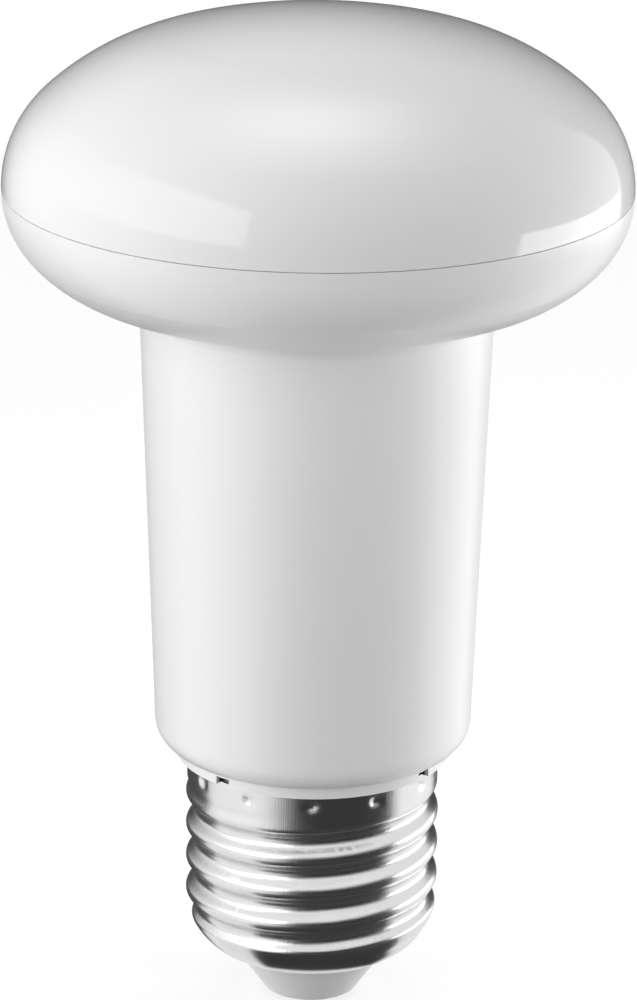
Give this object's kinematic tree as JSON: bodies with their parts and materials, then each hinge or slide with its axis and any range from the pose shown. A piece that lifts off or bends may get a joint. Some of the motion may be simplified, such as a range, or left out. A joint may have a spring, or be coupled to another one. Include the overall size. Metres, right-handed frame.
{
  "type": "reflector bulb",
  "caption": "Reflector lamp with an opal dome that snaps into a white head, a slim tapered neck and an Edison screw cap.",
  "frame": {"origin": "middle of the centre contact's lower face, the lowest point of the lamp, on the lamp's axis", "axes": "+Z along the lamp's axis from the cap to the dome; -Y faces the viewer of the picture, +X is on that viewer's right"},
  "size_m": [0.0632, 0.0632, 0.1048],
  "materials": {
    "opal_plastic": "satin, lets light through without showing what is behind",
    "white_plastic": "smooth gloss",
    "nickel_plate": "bright plated sheet",
    "pale_insulator": "smooth",
    "contact_metal": "plated",
    "spreader_metal": "mill finish",
    "white_board": "white solder mask over metal core",
    "led_phosphor": "clear resin over phosphor",
    "steel_screw": "zinc plated",
    "white_nylon": "moulded",
    "red_sleeve": "lead insulation",
    "black_sleeve": "lead insulation",
    "blue_sleeve": "lead insulation",
    "brown_sleeve": "lead insulation",
    "green_board": "solder mask over glass laminate",
    "black_resin": "moulded resin",
    "can_sleeve": "shrunk sleeve over the can",
    "ferrite": "sintered ferrite",
    "copper_wire": "enamelled copper wire",
    "yellow_film": "moulded case",
    "green_body": "cement coating"
  },
  "bodies": {
    "root": {"diffuser": "opal_plastic", "housing": "white_plastic", "screw_shell": "nickel_plate", "cap_insulator": "pale_insulator", "centre_contact": "contact_metal", "heat_spreader": "spreader_metal", "led_board": "white_board", "led_packages": "led_phosphor", "board_screws": "steel_screw", "led_connector": "white_nylon", "positive_lead": "red_sleeve", "negative_lead": "black_sleeve", "driver_board": "green_board", "bridge_rectifier": "black_resin", "input_capacitor": "can_sleeve", "output_capacitor": "can_sleeve", "choke_core": "ferrite", "choke_bobbin": "black_resin", "choke_winding": "copper_wire", "driver_chip": "black_resin", "output_diode": "black_resin", "film_capacitor": "yellow_film", "fusible_resistor": "green_body", "chip_resistors": "black_resin", "live_lead": "brown_sleeve", "neutral_lead": "blue_sleeve"}
  },
  "joints": []
}
